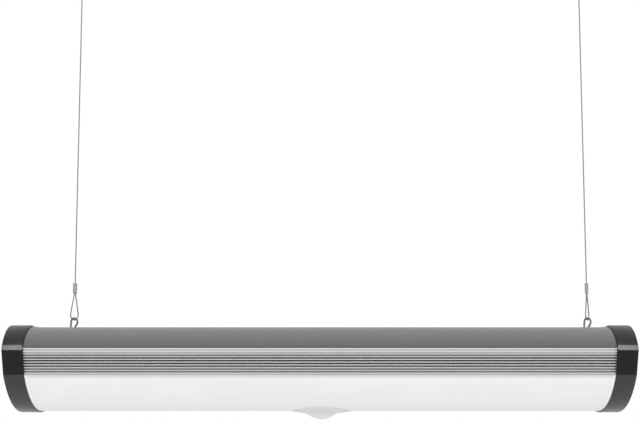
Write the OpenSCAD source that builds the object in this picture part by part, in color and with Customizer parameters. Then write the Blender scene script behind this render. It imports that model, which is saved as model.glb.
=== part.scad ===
// Hanging LED shop light with a round motion sensor, hung on two steel cables.
// Millimetres. X runs along the light, -Y is the front, +Z is up.
// The origin lies on the ceiling, straight above the middle of the light.
// Inside the modules z = 0 is the lowest line of the end caps; hung() carries
// everything down from the ceiling by the hanging height.

/* [Light body] */
// Length over the two end caps
fixture_l = 610; // [540:10:900]
// Greatest width, over the end caps
fixture_w = 160; // [152:1:170]
// Height of the end caps
fixture_h = 88; // [85:1:94]
// Radius of the rounded shoulders
shoulder_r = 34; // [30:1:36]
// How far the side leans in from the widest line to the foot
side_lean = 8; // [5:0.5:10]
// Depth of the curved lens, from the lowest line to the foot of the side
lens_depth = 39.6; // [36:0.2:41]
// How far the body lies inside the outline of the end caps
body_inset = 2; // [1.6:0.1:2.4]

/* [End caps] */
// Length of an end cap
cap_l = 20; // [16:1:30]
// Thickness of the end plate
cap_plate = 3; // [2.6:0.2:4]
// Play between an end cap and the body
cap_play = 0.2; // [0.1:0.05:0.4]
// Thickness of the end gasket
gasket_t = 1; // [0.5:0.1:2]

/* [Cover and rails] */
// Sheet thickness of the top cover
cover_t = 1.4; // [1:0.1:1.6]
// Wall of the ribbed side rails, over the ribs
rail_t = 3.6; // [3.2:0.1:4]
// Number of ribs on each side rail
rib_n = 9; // [7:1:10]
// Depth of the grooves between the ribs
groove_d = 1.4; // [0.8:0.1:1.6]
// Height of the ribbed band
rib_band = 24.2; // [23:0.2:25]
// Smooth lip under the ribs
lip_h = 1.8; // [1.2:0.1:2.4]
// Width of the hanging rail
hang_w = 16; // [14:0.5:20]
// Height of the hanging rail
hang_h = 7; // [6.4:0.1:8]
// Wall of the hanging rail
hang_t = 1.2; // [1:0.1:1.4]
// Slot between the lips of the hanging rail
slot_w = 8; // [6:0.5:9]
// Thickness of the gear tray
deck_t = 1.2; // [1:0.1:2]
// Height of the underside of the gear tray
deck_z = 52; // [51:0.5:53]

/* [Lens] */
// How far the lens lies inside the outline of the end caps
lens_inset = 1.4; // [1.2:0.1:1.8]
// Wall of the lens
lens_t = 1.6; // [1.2:0.1:2]

/* [LED boards] */
// From the end of the light to the end of an LED board
board_in = 25; // [20:1:40]
// Width of an LED board
board_w = 18; // [14:1:20]
// Thickness of an LED board
board_t = 1.2; // [0.8:0.2:1.6]
// Distance of an LED board from the middle
board_y = 34; // [32:0.5:38]
// Distance from one LED to the next
led_pitch = 15.5; // [12:0.5:20]

/* [Driver] */
// Length of the driver case
driver_l = 200; // [180:5:210]
// Width of the driver case
driver_w = 40; // [36:1:50]
// Height of the driver case
driver_h = 19; // [18:0.5:20]

/* [Motion sensor] */
// Place of the sensor along the light
sensor_x = 1.5; // [-10:0.5:10]
// Radius of the sensor flange
flange_r = 30.5; // [28:0.5:33]
// Thickness of the sensor flange at its edge
flange_edge = 1; // [0.8:0.1:1.4]
// Thickness of the sensor flange beside the dome
flange_mid = 3; // [2.6:0.1:3.4]
// Radius of the threaded barrel
barrel_r = 20; // [19:0.2:21]
// Radius of the dome
dome_r = 15.5; // [14:0.1:15.6]
// Height of the dome's rounded part
dome_h = 6; // [5:0.1:8]

/* [Cables] */
// Thickness of the steel cable
cable_d = 1.2; // [1:0.1:1.5]
// Free cable between the ferrules
cable_free = 307; // [296:1:340]
// From the left end cap to the left cable
left_in = 30; // [10:1:60]
// From the right end cap to the right cable
right_in = 7.5; // [7:0.5:60]
// Radius of the round end of a cable loop
loop_r = 5.4; // [5:0.1:6]
// From the middle of a loop's round end to its ferrule
loop_l = 22; // [20:0.5:26]
// Turn of the loops out of the front view
loop_turn = 58; // [50:1:75]
// Length of a ferrule
ferrule_l = 11; // [9:0.5:13]

/* [Hook clips and ceiling hooks] */
// Thickness of the clip wire
clip_d = 2; // [1.8:0.1:2.1]
// Height of the clip's bend above the top of the body
clip_rise = 10.5; // [10:0.1:12]
// Thickness of the ceiling hook wire
hook_d = 3; // [2.6:0.1:3.4]
// Radius of the ceiling hook's bend
hook_r = 6.5; // [6:0.1:8]
// Length of the screw in the ceiling
screw_l = 16; // [12:1:24]

/* [Hidden] */
$fn = 64;

steel = [0.72, 0.73, 0.74];
silver = [0.80, 0.80, 0.81];
cover_grey = [0.36, 0.37, 0.38];
black = [0.09, 0.09, 0.09];
lens_white = [0.96, 0.96, 0.95];
sensor_white = [0.90, 0.90, 0.89];
zinc = [0.66, 0.67, 0.68];
board_green = [0.13, 0.36, 0.22];
copper_red = [0.62, 0.20, 0.14];

// Outline of the light across its length. All circles that meet it share these centres.
ridge_angle = 27;
ridge_step = 2.2;
ridge_drop = 6;
shoulder_y = fixture_w / 2 - ridge_step - shoulder_r * cos(ridge_angle);
shoulder_z = fixture_h - shoulder_r;
foot_y = fixture_w / 2 - side_lean;
foot_z = lens_depth;
rib_bottom = foot_z + lip_h;
rib_top = rib_bottom + rib_band;
wide_z = shoulder_z + shoulder_r * sin(ridge_angle) - ridge_drop;
side_slope = side_lean / (wide_z - foot_z);
flat_n = unit([ridge_drop, ridge_step]);
flat_at = flat_n * [fixture_w / 2, wide_z];
lens_r = (foot_y * foot_y + foot_z * foot_z) / (2 * foot_z);
top_z = fixture_h - body_inset;
reach = 2.5 * fixture_w;

// Lengths along X
body_end = fixture_l / 2 - cap_plate - gasket_t;
cap_start = fixture_l / 2 - cap_l;
left_x = left_in - cap_start;
right_x = cap_start - right_in;
board_l = fixture_l - 2 * board_in;

// Side rails and lens edge
rail_in = body_inset + rail_t;
fit = 0.1;
ledge_w = 3.4;
ledge_t = 1.4;
skirt_h = 3.6;
bead_z = rib_bottom;
bead_h = 1.8;
bead_d = 1;
edge_gap = 0.2;
shelf_t = 1.6;
rib_pitch = rib_band / rib_n;
groove_mouth = rib_pitch * 0.55;
groove_floor = rib_pitch * 0.3;
port_z = deck_z + 5.5;
port_r = 3.2;
port_hole_r = 1.35;
port_y = side_y(port_z) - rail_in - port_r + 1;

// Cap screws and gland
screw_r = 1.3;
screw_len = 18;
screw_hole_r = 1.9;
head_r = 3.2;
head_h = 1.8;
head_play = 0.3;
gasket_w = 9;
gland_z = 65;
gland_thread_r = 8;
gland_bore_r = 4;
gland_hex_r = 11;
gland_cap_r = 9.4;
gland_out = 11;
gland_flange = 3.5;
gland_nut_t = 4;

// Driver, terminal block and leads
deck_top = deck_z + deck_t;
driver_x1 = 50;
driver_x0 = driver_x1 - driver_l;
driver_wall = 1.2;
driver_tab = 10;
driver_tab_w = driver_w / 4;
driver_lid_t = 1.2;
lid_slot_n = 10;
lid_slot_pitch = driver_l / 25;
pcb_t = 1.6;
pcb_end = 10;
pcb_side = 3;
pcb_head = 7;
standoff_h = 3;
standoff_in = [12, 6];
lead_r = 1.1;
lead_hole_r = 1.4;
lead_z = deck_top + 9;
driver_screw_y = 14;
earth_in = 65;
earth_gap = 6;
earth_x = earth_in - fixture_l / 2;
earth_y = board_y + board_w / 2 + earth_gap;
terminal_in = 47;
terminal_x0 = terminal_in - fixture_l / 2;
terminal_l = 24;
terminal_w = 30;
terminal_h = 16;
pole_pitch = 8;
deck_hole_r = 2.6;
sensor_lead_x = 68;
led_lead_reach = 34;
small_screw_r = 1.5;
screw_hole_small = small_screw_r + fit;
driver_screw_x = [driver_x0 - driver_tab / 2, driver_x1 + driver_tab / 2];
small_head_r = 2.6;
small_head_h = 1.6;
led_n = floor((board_l - 10) / led_pitch / 2) * 2;
board_screw_steps = [-12, 0, 12];

// Sensor
lens_out = lens_r - lens_inset;
lens_in = lens_out - lens_t;
lens_low = lens_inset;
flange_low = lens_low - flange_mid;
flange_flat = 17;
flange_rise = lens_r - sqrt(lens_out * lens_out - flange_r * flange_r) - flange_edge - flange_low;
flange_bow_r = (flange_r * flange_r + flange_rise * flange_rise) / (2 * flange_rise);
dome_gap = 1.7;
lip_low = flange_low + 2;
lip_top = lip_low + 1.2;
dome_base = flange_low + 0.5;
dome_wall = 1.1;
dome_rim_h = 1;
dome_sphere_r = (dome_r * dome_r + dome_h * dome_h) / (2 * dome_h);
cavity_r = dome_r + 1.5;
sensor_pcb_z = 9;
barrel_top = 28;
nut_r = 25;
nut_h = 5;
nut_z = lens_r - sqrt(lens_in * lens_in - nut_r * nut_r) + fit;

// Heights of the hanging parts above the lowest line of the end caps
clip_z = top_z + clip_rise;
hang_play = 0.3;
lower_loop_z = clip_z - clip_d / 2 - hang_play - cable_d / 2 + loop_r;
lower_ferrule_z = lower_loop_z + loop_l;
lower_mouth = lower_ferrule_z + ferrule_l;
upper_mouth = lower_mouth + cable_free;
upper_ferrule_z = upper_mouth + ferrule_l;
upper_loop_z = upper_ferrule_z + loop_l;
hook_bottom_z = upper_loop_z + loop_r - cable_d / 2 - hang_play - hook_d / 2;
hook_shank = 8;
hook_shank_r = hook_d / 2 + 0.2;
hook_start = 86;
hook_end = 375;
drop = hook_bottom_z + 2 * hook_r + hook_shank;
collar_r = 6;
collar_t = 1.2;
screw_shank_r = 1.7;
screw_tip = 2;
strand_gap = 0.7;
loop_steps = 14;
loop_tail = 3;
sleeve_r = 1.75;
crimp_r = 1.45;
mouth_gap = 0.3;
// Heights along a free cable, from the ferrule below to the ferrule above
run_heights = [150, 170, 190, 210, 230, 250, 270, 290, 310, 330, 350, 370, 390, 410];
// Bends of the clip wire, from the front foot to the rear foot: along X, along Y, and up from the body top
clip_points = [[-3.6, -6.2, -2.3], [-3.6, -3.4, -2.3], [-3.6, -2, -2.1], [-3.6, -0.8, -1.5],
               [-3.6, -0.2, -0.6], [-3.6, 0, 0.6], [-3.3, 0, 5], [-3, 0, 7.7], [-2.7, 0, 8.9],
               [-2, 0, 9.8], [-1, 0, 10.4], [0, 0, 10.5], [1, 0, 10.4], [2, 0, 9.8],
               [2.8, 0, 8.9], [3.3, 0, 7.6], [3.4, 0, 6.2], [3, 0, 4.8], [2.1, 0, 3.2],
               [1.2, 0, 1.8], [0.7, 0, 0.6], [0.5, 0.2, -0.6], [0.5, 0.8, -1.5],
               [0.5, 2, -2.1], [0.5, 3.4, -2.3], [0.5, 6.2, -2.3]];
// Route of the front LED lead from the driver's end wall; the rear one is its mirror image
led_lead_points = [[-4, 6, 9], [6, 6, 9], [14, 8, 8.6], [21, 13, 7.4], [26, 19, 5.8], [30, 25, 4.2],
                   [33, 30, 2.8], [34, 33, 1.4], [34, 34, -0.6]];
// Route of the sensor lead: along X from the sensor for the first points, then the rest to the driver
sensor_lead_start = [[8, 0, 10.6], [8, 0, 20], [8, 0, 30], [9, 0, 35.5], [12, 0, 39.5],
                     [17, 0, 42.4], [24, 0, 44]];
sensor_lead_end = [[46, 0, 44.6], [56, 0, 45.2], [63, 0, 47.2], [67, 0, 51], [68, 0, 55],
                   [66.6, 0, 59], [63, 0, 61.6], [58, 0, 62.2], [46, 0, 62.2]];

// Half width of the outer side line at a height between the foot and the widest line
function side_y(z) = foot_y + (z - foot_z) * side_slope;
// Where the side line meets the narrow flat above it, both moved inwards
function wide_point(inset) =
    let (side_at = flat_n[0] * (foot_y - inset - foot_z * side_slope))
    let (z = (flat_at - inset - side_at) / (flat_n[1] + flat_n[0] * side_slope))
    [side_y(z) - inset, z];

function unit(v) = v / norm(v);
// Direction of a route at point i
function heading(p, i) = unit(p[min(i + 1, len(p) - 1)] - p[max(i - 1, 0)]);
// A vector across the direction t that stays close to the last one
function across(t, last) = unit(last - t * (last * t));
// One vector across the route for each point, carried on from point to point without twist
function frames(p, start) =
    [for (i = 0, n = across(heading(p, 0), start); i < len(p);
          i = i + 1, n = i < len(p) ? across(heading(p, i), n) : n) n];

// A round tube along the points p
module tube(p, r, sides, start) {
    n = frames(p, start);
    rings = [for (i = [0:len(p) - 1]) for (k = [0:sides - 1])
        let (a = 360 * k / sides, t = heading(p, i))
        p[i] + r * (cos(a) * n[i] + sin(a) * cross(t, n[i]))];
    walls = [for (i = [0:len(p) - 2]) for (k = [0:sides - 1])
        let (a = i * sides + k, b = i * sides + (k + 1) % sides)
        [a, b, b + sides, a + sides]];
    near = [[for (k = [sides - 1:-1:0]) k]];
    far = [[for (k = [0:sides - 1]) (len(p) - 1) * sides + k]];
    faces = [for (f = concat(near, walls, far)) [for (k = [len(f) - 1:-1:0]) f[k]]];
    polyhedron(rings, faces, convexity = 6);
}

// Carries what is built around the light down from the ceiling
module hung() {
    translate([0, 0, -drop]) children();
}

// Extrudes a shape drawn across the light, as (Y, Z), from x0 to x1
module along(x0, x1) {
    translate([x0, 0, 0]) rotate([90, 0, 90]) linear_extrude(x1 - x0) children();
}

// A round bar along X
module bar_x(x0, x1, y, z, r) {
    translate([x0, y, z]) rotate([0, 90, 0]) cylinder(r = r, h = x1 - x0);
}

// A round bar upright
module bar_z(z0, z1, x, y, r) {
    translate([x, y, z0]) cylinder(r = r, h = z1 - z0);
}

// The light's outline, moved inwards by inset: the lens circle, the rounded top block, and
// a polygon with the leaning sides and the narrow flat above them
module section(inset) {
    r = shoulder_r - inset;
    wide = wide_point(inset);
    low = [foot_y - inset - (foot_z + 1) * side_slope, -1];
    over = wide + fixture_h / 2 * [-flat_n[1], flat_n[0]];
    intersection() {
        translate([0, lens_r]) circle(r = lens_r - inset, $fn = 180);
        union() {
            translate([-shoulder_y, -1]) square([2 * shoulder_y, fixture_h - inset + 1]);
            translate([2 - shoulder_y - r, -1]) square([2 * (shoulder_y + r - 2), shoulder_z + 1]);
            for (s = [-1, 1]) translate([s * shoulder_y, shoulder_z]) circle(r = r, $fn = 120);
        }
        polygon([low, wide, over, [-over[0], over[1]], [-wide[0], wide[1]], [-low[0], low[1]]]);
    }
}

// What lies between two heights
module slab(z0, z1) {
    intersection() {
        translate([-reach / 2, z0]) square([reach, z1 - z0]);
        children();
    }
}

// The shell between two insets, between two heights
module band(outer, inner, z0, z1) {
    slab(z0, z1) difference() {
        section(outer);
        section(inner);
    }
}

// Keeps the half on the rear side
module rear_half() {
    intersection() {
        translate([0, -reach / 2]) square([reach, reach]);
        children();
    }
}

// Folded sheet cover: shoulders, an edge folded in over each rail, and a trough for the hanging rail
module cover_profile() {
    trough = hang_w / 2 + fit;
    fold = body_inset + rail_t + fit;
    difference() {
        union() {
            band(body_inset, body_inset + cover_t, rib_top, fixture_h);
            band(body_inset, fold + cover_t, rib_top, rib_top + cover_t);
            band(fold, fold + cover_t, rib_top - skirt_h, rib_top + cover_t);
            translate([-trough - cover_t, top_z - hang_h - cover_t])
                square([2 * (trough + cover_t), hang_h + cover_t]);
        }
        translate([-trough, top_z - hang_h]) square([2 * trough, hang_h + 1]);
    }
}

module top_cover() {
    color(cover_grey) hung() along(-body_end, body_end) cover_profile();
}

// C channel whose lips the hook clips reach under
module hanging_rail() {
    color(silver) hung() along(-body_end, body_end) difference() {
        translate([-hang_w / 2, top_z - hang_h]) square([hang_w, hang_h]);
        translate([-hang_w / 2 + hang_t, top_z - hang_h + hang_t])
            square([hang_w - 2 * hang_t, hang_h - 2 * hang_t]);
        translate([-slot_w / 2, top_z - hang_h / 2]) square([slot_w, hang_h]);
    }
}

// One groove between two ribs, square to the side
module groove(z) {
    translate([side_y(z) - body_inset, z]) rotate(-atan(side_slope))
        polygon([[0.6, groove_mouth / 2], [0, groove_mouth / 2], [-groove_d, groove_floor / 2],
                 [-groove_d, -groove_floor / 2], [0, -groove_mouth / 2], [0.6, -groove_mouth / 2]]);
}

// Extruded rail with ribs outside, and inside a ledge for the tray, a screw port and a groove for the lens
module rail_profile() {
    rear_half() difference() {
        union() {
            band(body_inset, rail_in, foot_z, rib_top);
            band(rail_in - 1, rail_in + ledge_w, deck_z - ledge_t, deck_z);
            translate([port_y, port_z]) circle(r = port_r);
        }
        for (i = [1:rib_n - 1]) groove(rib_top - rib_pitch * i);
        band(rail_in - bead_d, rail_in + 1, bead_z - fit, bead_z + bead_h + fit);
        translate([port_y, port_z]) circle(r = port_hole_r);
    }
}

module side_rail_rear() {
    color(silver) hung() along(-body_end, body_end) rail_profile();
}

module side_rail_front() {
    color(silver) hung() along(-body_end, body_end) mirror([1, 0]) rail_profile();
}

// A hole through the gear tray
module tray_hole(x, y, r) {
    bar_z(deck_z - 1, deck_top + 1, x, y, r);
}

// Flat tray that lies on the ledges of both rails
module gear_tray() {
    color("white") hung() difference() {
        along(-body_end, body_end) slab(deck_z, deck_top) section(rail_in + fit);
        for (s = [-1, 1]) tray_hole(driver_x1 + led_lead_reach, s * board_y, deck_hole_r);
        for (s = [-1, 1]) for (i = board_screw_steps)
            tray_hole(i * led_pitch, s * board_y, screw_hole_small);
        tray_hole(sensor_lead_x, 0, deck_hole_r);
        for (x = driver_screw_x) tray_hole(x, driver_screw_y, screw_hole_small);
        tray_hole(earth_x, earth_y, screw_hole_small);
    }
}

// Curved translucent cover; its edges turn in and up, and a bead snaps into each rail
module lens_profile() {
    tab_in = rail_in + fit + lens_t;
    tab_top = bead_z + bead_h;
    shelf_z = foot_z - edge_gap - shelf_t;
    band(lens_inset, lens_inset + lens_t, -1, foot_z - edge_gap);
    band(lens_inset, tab_in, shelf_z, foot_z - edge_gap);
    band(rail_in + fit, tab_in, shelf_z, tab_top);
    band(rail_in + fit - bead_d, tab_in, bead_z, tab_top);
}

module lens() {
    color(lens_white) hung() difference() {
        along(-body_end, body_end) lens_profile();
        bar_z(flange_low, sensor_pcb_z, sensor_x, 0, barrel_r + edge_gap);
    }
}

// What the end cap slides over
module cap_pocket() {
    slab(foot_z, fixture_h) section(body_inset - cap_play);
    slab(-1, foot_z) section(lens_inset - cap_play);
}

module end_cap() {
    end = fixture_l / 2;
    difference() {
        along(cap_start, end) section(0);
        along(cap_start - 1, end - cap_plate) cap_pocket();
        for (s = [-1, 1]) {
            bar_x(end - cap_plate - 1, end + 1, s * port_y, port_z, screw_hole_r);
            bar_x(end - head_h, end + 1, s * port_y, port_z, head_r + head_play);
        }
    }
}

module end_cap_right() {
    color(black) hung() end_cap();
}

module end_cap_left() {
    color(black) hung() difference() {
        mirror([1, 0, 0]) end_cap();
        bar_x(-fixture_l / 2 - 1, -body_end, 0, gland_z, gland_thread_r + fit);
    }
}

module end_gasket() {
    difference() {
        along(body_end, body_end + gasket_t) difference() {
            section(body_inset - fit);
            section(body_inset + gasket_w);
        }
        for (s = [-1, 1]) bar_x(body_end - 1, body_end + gasket_t + 1, s * port_y, port_z, screw_hole_r);
    }
}

module end_gasket_right() {
    color([0.2, 0.2, 0.2]) hung() end_gasket();
}

module end_gasket_left() {
    color([0.2, 0.2, 0.2]) hung() mirror([1, 0, 0]) end_gasket();
}

// Two self-tapping screws with a cross recess, driven into the ports of the rails
module cap_screws() {
    end = fixture_l / 2;
    for (s = [-1, 1]) difference() {
        union() {
            bar_x(end - head_h, end, s * port_y, port_z, head_r);
            bar_x(end - head_h - screw_len, end - head_h + 0.5, s * port_y, port_z, screw_r);
        }
        translate([end, s * port_y, port_z]) {
            cube([2, 0.8, 3.4], center = true);
            cube([2, 3.4, 0.8], center = true);
        }
    }
}

module cap_screws_right() {
    color(zinc) hung() cap_screws();
}

module cap_screws_left() {
    color(zinc) hung() mirror([1, 0, 0]) cap_screws();
}

// Nylon cable gland for the mains cord, in the left end plate
module inlet_gland() {
    end = -fixture_l / 2;
    color(black) hung() difference() {
        union() {
            bar_x(end - gland_out, end, 0, gland_z, gland_cap_r);
            translate([end - gland_flange, 0, gland_z]) rotate([0, 90, 0]) rotate(30)
                cylinder(r = gland_hex_r, h = gland_flange, $fn = 6);
            bar_x(end - 1, end + cap_plate + gland_nut_t + 2, 0, gland_z, gland_thread_r);
        }
        bar_x(end - gland_out - 1, end + cap_plate + gland_nut_t + 3, 0, gland_z, gland_bore_r);
    }
}

module gland_nut() {
    x0 = -fixture_l / 2 + cap_plate;
    color(black) hung() difference() {
        translate([x0, 0, gland_z]) rotate([0, 90, 0]) rotate(30)
            cylinder(r = gland_hex_r, h = gland_nut_t, $fn = 6);
        bar_x(x0 - 1, x0 + gland_nut_t + 1, 0, gland_z, gland_thread_r + fit / 2);
    }
}

// A lead hole through an end wall of the driver
module end_hole(x, y) {
    bar_x(x - 2, x + 2, y, lead_z, lead_hole_r);
}

// Open sheet-metal box with a fixing tab at each end
module driver_case() {
    color(silver) hung() difference() {
        union() {
            translate([driver_x0, -driver_w / 2, deck_top]) cube([driver_l, driver_w, driver_h]);
            translate([driver_x0 - driver_tab, driver_screw_y - driver_tab_w / 2, deck_top])
                cube([driver_l + 2 * driver_tab, driver_tab_w, driver_wall]);
        }
        difference() {
            translate([driver_x0 + driver_wall, -driver_w / 2 + driver_wall, deck_top + driver_wall])
                cube([driver_l - 2 * driver_wall, driver_w - 2 * driver_wall, driver_h]);
            for (x = [driver_x0 + standoff_in[0], driver_x1 - standoff_in[0]]) for (s = [-1, 1])
                bar_z(deck_top, deck_top + driver_wall + standoff_h,
                      x, s * (driver_w / 2 - standoff_in[1]), 2);
        }
        for (x = driver_screw_x) bar_z(deck_top - 1, deck_top + 2, x, driver_screw_y, screw_hole_small);
        for (i = [-1:1]) end_hole(driver_x0, i * pole_pitch);
        for (y = [-6, 0, 6]) end_hole(driver_x1, y);
    }
}

module driver_lid() {
    color(silver) hung() difference() {
        translate([driver_x0, -driver_w / 2, deck_top + driver_h]) cube([driver_l, driver_w, driver_lid_t]);
        for (i = [0:lid_slot_n - 1])
            translate([driver_x0 + driver_l / 2 + (i - lid_slot_n / 2) * lid_slot_pitch, 0,
                       deck_top + driver_h + driver_lid_t / 2])
                cube([lid_slot_pitch * 0.3, driver_w * 0.4, driver_lid_t + 2], center = true);
    }
}

// Circuit board of the driver with its transformer, capacitors and heat sink
module driver_board() {
    z = deck_top + driver_wall + standoff_h;
    x = driver_x0 + pcb_end;
    l = driver_l - 2 * pcb_end;
    w = driver_w - 2 * pcb_side;
    h = driver_h - pcb_head;
    color(board_green) hung() union() {
        translate([x, -w / 2, z]) cube([l, w, pcb_t]);
        translate([x + l * 0.52, -w / 4, z]) cube([l / 9, w / 2, h]);
        translate([x + l * 0.2, w / 8, z]) cylinder(r = w / 7, h = h);
        translate([x + l * 0.32, -w / 8, z]) cylinder(r = w / 7, h = h);
        translate([x + l * 0.8, w / 6, z]) cylinder(r = w / 8, h = h * 0.9);
        translate([x + l * 0.72, -w / 3, z]) cube([2 * pcb_t, w * 0.4, h * 0.9]);
        translate([x + l * 0.06, -w / 6, z]) cube([l / 22, w / 3, h * 0.8]);
    }
}

// A pan-head screw that points up, its head's underside at z
module screw_up(x, y, z, l) {
    translate([x, y, z - small_head_h]) cylinder(r = small_head_r, h = small_head_h);
    translate([x, y, z - 0.5]) cylinder(r = small_screw_r, h = l + 0.5);
}

module driver_screws() {
    z = deck_top + driver_wall;
    color(zinc) hung() for (x = driver_screw_x)
        translate([0, 0, 2 * z]) mirror([0, 0, 1]) screw_up(x, driver_screw_y, z, driver_wall + deck_t + 1);
}

module terminal_block() {
    color("white") hung() difference() {
        translate([terminal_x0, -terminal_w / 2, deck_top]) cube([terminal_l, terminal_w, terminal_h]);
        for (i = [-1:1]) {
            bar_x(terminal_x0 - 1, terminal_x0 + terminal_l + 1, i * pole_pitch, lead_z, lead_r);
            for (x = [6, terminal_l - 6])
                translate([terminal_x0 + x, i * pole_pitch, lead_z]) cylinder(r = 2.2, h = terminal_h);
        }
    }
}

module earth_screw() {
    z = deck_top;
    color(zinc) hung() {
        translate([0, 0, 2 * z]) mirror([0, 0, 1]) screw_up(earth_x, earth_y, z, deck_t + 3);
    }
}

// Live, neutral and earth, from the terminal block into the driver
module mains_leads() {
    color(copper_red) hung() for (i = [-1:1])
        bar_x(terminal_x0 + terminal_l - 6, driver_x0 + driver_wall + 5, i * pole_pitch, lead_z, lead_r);
}

// One lead to each LED board, down through a hole in the tray
module led_leads() {
    color(copper_red) hung() for (s = [-1, 1]) {
        route = [for (p = led_lead_points) [driver_x1 + p[0], s * p[1], deck_top + p[2]]];
        tube(route, lead_r, 8, [0, 0, 1]);
    }
}

module sensor_lead() {
    start = [for (p = sensor_lead_start) p + [sensor_x, 0, 0]];
    color(copper_red) hung() tube(concat(start, sensor_lead_end), lead_r, 8, [0, 1, 0]);
}

module led_board(s) {
    difference() {
        translate([-board_l / 2, s * board_y - board_w / 2, deck_z - board_t])
            cube([board_l, board_w, board_t]);
        for (i = board_screw_steps)
            bar_z(deck_z - board_t - 1, deck_z + 1, i * led_pitch, s * board_y, screw_hole_small);
    }
}

module led_board_front() {
    color("white") hung() led_board(-1);
}

module led_board_rear() {
    color("white") hung() led_board(1);
}

module leds(s) {
    for (i = [0:led_n - 1])
        translate([(i - (led_n - 1) / 2) * led_pitch - 1.75, s * board_y - 1.4, deck_z - board_t - 0.8])
            cube([3.5, 2.8, 0.8]);
}

module leds_front() {
    color([0.95, 0.85, 0.45]) hung() leds(-1);
}

module leds_rear() {
    color([0.95, 0.85, 0.45]) hung() leds(1);
}

module board_screws() {
    color(zinc) hung() for (s = [-1, 1]) for (i = board_screw_steps)
        screw_up(i * led_pitch, s * board_y, deck_z - board_t, board_t + deck_t + 1);
}

// Round flange bent to the lens, thickest beside the dome and thin at its edge
module flange() {
    bow = 2 * flange_r;
    intersection() {
        bar_z(flange_low - 1, lens_r / 2, sensor_x, 0, flange_r);
        translate([sensor_x, 0, lens_r]) rotate([0, 90, 0]) rotate_extrude($fn = 180)
            polygon([[lens_out / 2, -flange_r], [lens_out + flange_edge, -flange_r],
                     [lens_out + flange_mid, -flange_flat], [lens_out + flange_mid, flange_flat],
                     [lens_out + flange_edge, flange_r], [lens_out / 2, flange_r]]);
        bar_x(sensor_x - bow, sensor_x + bow, 0, flange_low + flange_bow_r, flange_bow_r, $fn = 180);
    }
}

// Flange and threaded barrel in one moulding closed at the top, with a lip that holds the dome
module sensor_housing() {
    color(sensor_white) hung() difference() {
        union() {
            difference() {
                flange();
                bar_x(-reach, reach, 0, lens_r, lens_out + fit / 2, $fn = 180);
            }
            bar_z(lip_low, barrel_top, sensor_x, 0, barrel_r);
        }
        bar_z(flange_low - 1, lip_low, sensor_x, 0, dome_r + dome_gap);
        bar_z(lip_low - 1, lip_top + 1, sensor_x, 0, dome_r + 0.2);
        bar_z(lip_top, sensor_pcb_z + pcb_t, sensor_x, 0, cavity_r);
        bar_z(sensor_pcb_z, barrel_top - 2, sensor_x, 0, cavity_r - 1.5);
        bar_z(barrel_top - 3, barrel_top + 2, sensor_x + sensor_lead_start[0][0], 0, lead_hole_r);
    }
}

// Thin milky dome with a skirt and a rim that rests on the lip of the housing
module sensor_dome() {
    mid = dome_base - dome_h + dome_sphere_r;
    color(sensor_white) hung() translate([sensor_x, 0, 0]) difference() {
        union() {
            intersection() {
                translate([0, 0, mid]) sphere(r = dome_sphere_r, $fn = 96);
                bar_z(dome_base - dome_h - 1, dome_base, 0, 0, dome_r);
            }
            bar_z(dome_base, lip_top + dome_rim_h, 0, 0, dome_r);
            bar_z(lip_top, lip_top + dome_rim_h, 0, 0, cavity_r - 0.2);
        }
        intersection() {
            translate([0, 0, mid]) sphere(r = dome_sphere_r - dome_wall, $fn = 96);
            bar_z(dome_base - dome_h, dome_base, 0, 0, dome_r - dome_wall);
        }
        bar_z(dome_base - 0.01, lip_top + dome_rim_h + 1, 0, 0, dome_r - dome_wall);
    }
}

module sensor_nut() {
    color(sensor_white) hung() translate([sensor_x, 0, nut_z]) difference() {
        cylinder(r = nut_r, h = nut_h);
        translate([0, 0, -1]) cylinder(r = barrel_r + fit / 2, h = nut_h + 2);
        for (k = [0:11]) rotate(30 * k) bar_z(-1, nut_h + 1, nut_r, 0, 1.5);
    }
}

module sensor_board() {
    color(board_green) hung() translate([sensor_x, 0, sensor_pcb_z]) union() {
        cylinder(r = cavity_r - 0.2, h = pcb_t);
        translate([-dome_r * 0.58, -dome_r / 3, pcb_t - 0.1])
            cube([dome_r * 0.45, dome_r * 0.64, dome_r * 0.58]);
        translate([-3, dome_r * 0.4, pcb_t - 0.1]) cylinder(r = 3, h = dome_r * 0.45);
    }
}

// Metal can of the heat detector, behind the dome
module pyro_detector() {
    color(zinc) hung() translate([sensor_x, 0, sensor_pcb_z - 4.2]) difference() {
        cylinder(r = 4.1, h = 4.2);
        translate([-2, -1.5, -0.1]) cube([4, 3, 0.4]);
    }
}

// A cable loop: round end, two straight legs and short ends side by side in the ferrule.
// The middle of the round end is at the origin, the ferrule at +Z, the loop in the XZ plane.
module cable_loop() {
    lean = atan2(loop_l, strand_gap) - acos(loop_r / norm([strand_gap, loop_l]));
    bend = [for (k = [0:loop_steps]) let (a = 180 - lean + (180 + 2 * lean) * k / loop_steps)
        [loop_r * cos(a), 0, loop_r * sin(a)]];
    tail = loop_l + loop_tail;
    tube(concat([[-strand_gap, 0, tail], [-strand_gap, 0, loop_l]], bend,
                [[strand_gap, 0, loop_l], [strand_gap, 0, tail]]), cable_d / 2, 8, [0, 1, 0]);
}

module lower_loop(x) {
    color(steel) hung() translate([x, 0, lower_loop_z]) rotate(loop_turn) cable_loop();
}

module upper_loop(x) {
    color(steel) hung() translate([x, 0, upper_loop_z]) rotate(loop_turn) mirror([0, 0, 1]) cable_loop();
}

module lower_loop_left() {
    lower_loop(left_x);
}

module lower_loop_right() {
    lower_loop(right_x);
}

module upper_loop_left() {
    upper_loop(left_x);
}

module upper_loop_right() {
    upper_loop(right_x);
}

// One barrel pair of a ferrule between two heights
module sleeve(z0, z1, r) {
    translate([0, 0, z0]) linear_extrude(z1 - z0) union() {
        for (s = [-1, 1]) translate([s * strand_gap, 0]) circle(r = r, $fn = 48);
        square([2 * strand_gap, 2 * r], center = true);
    }
}

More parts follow.
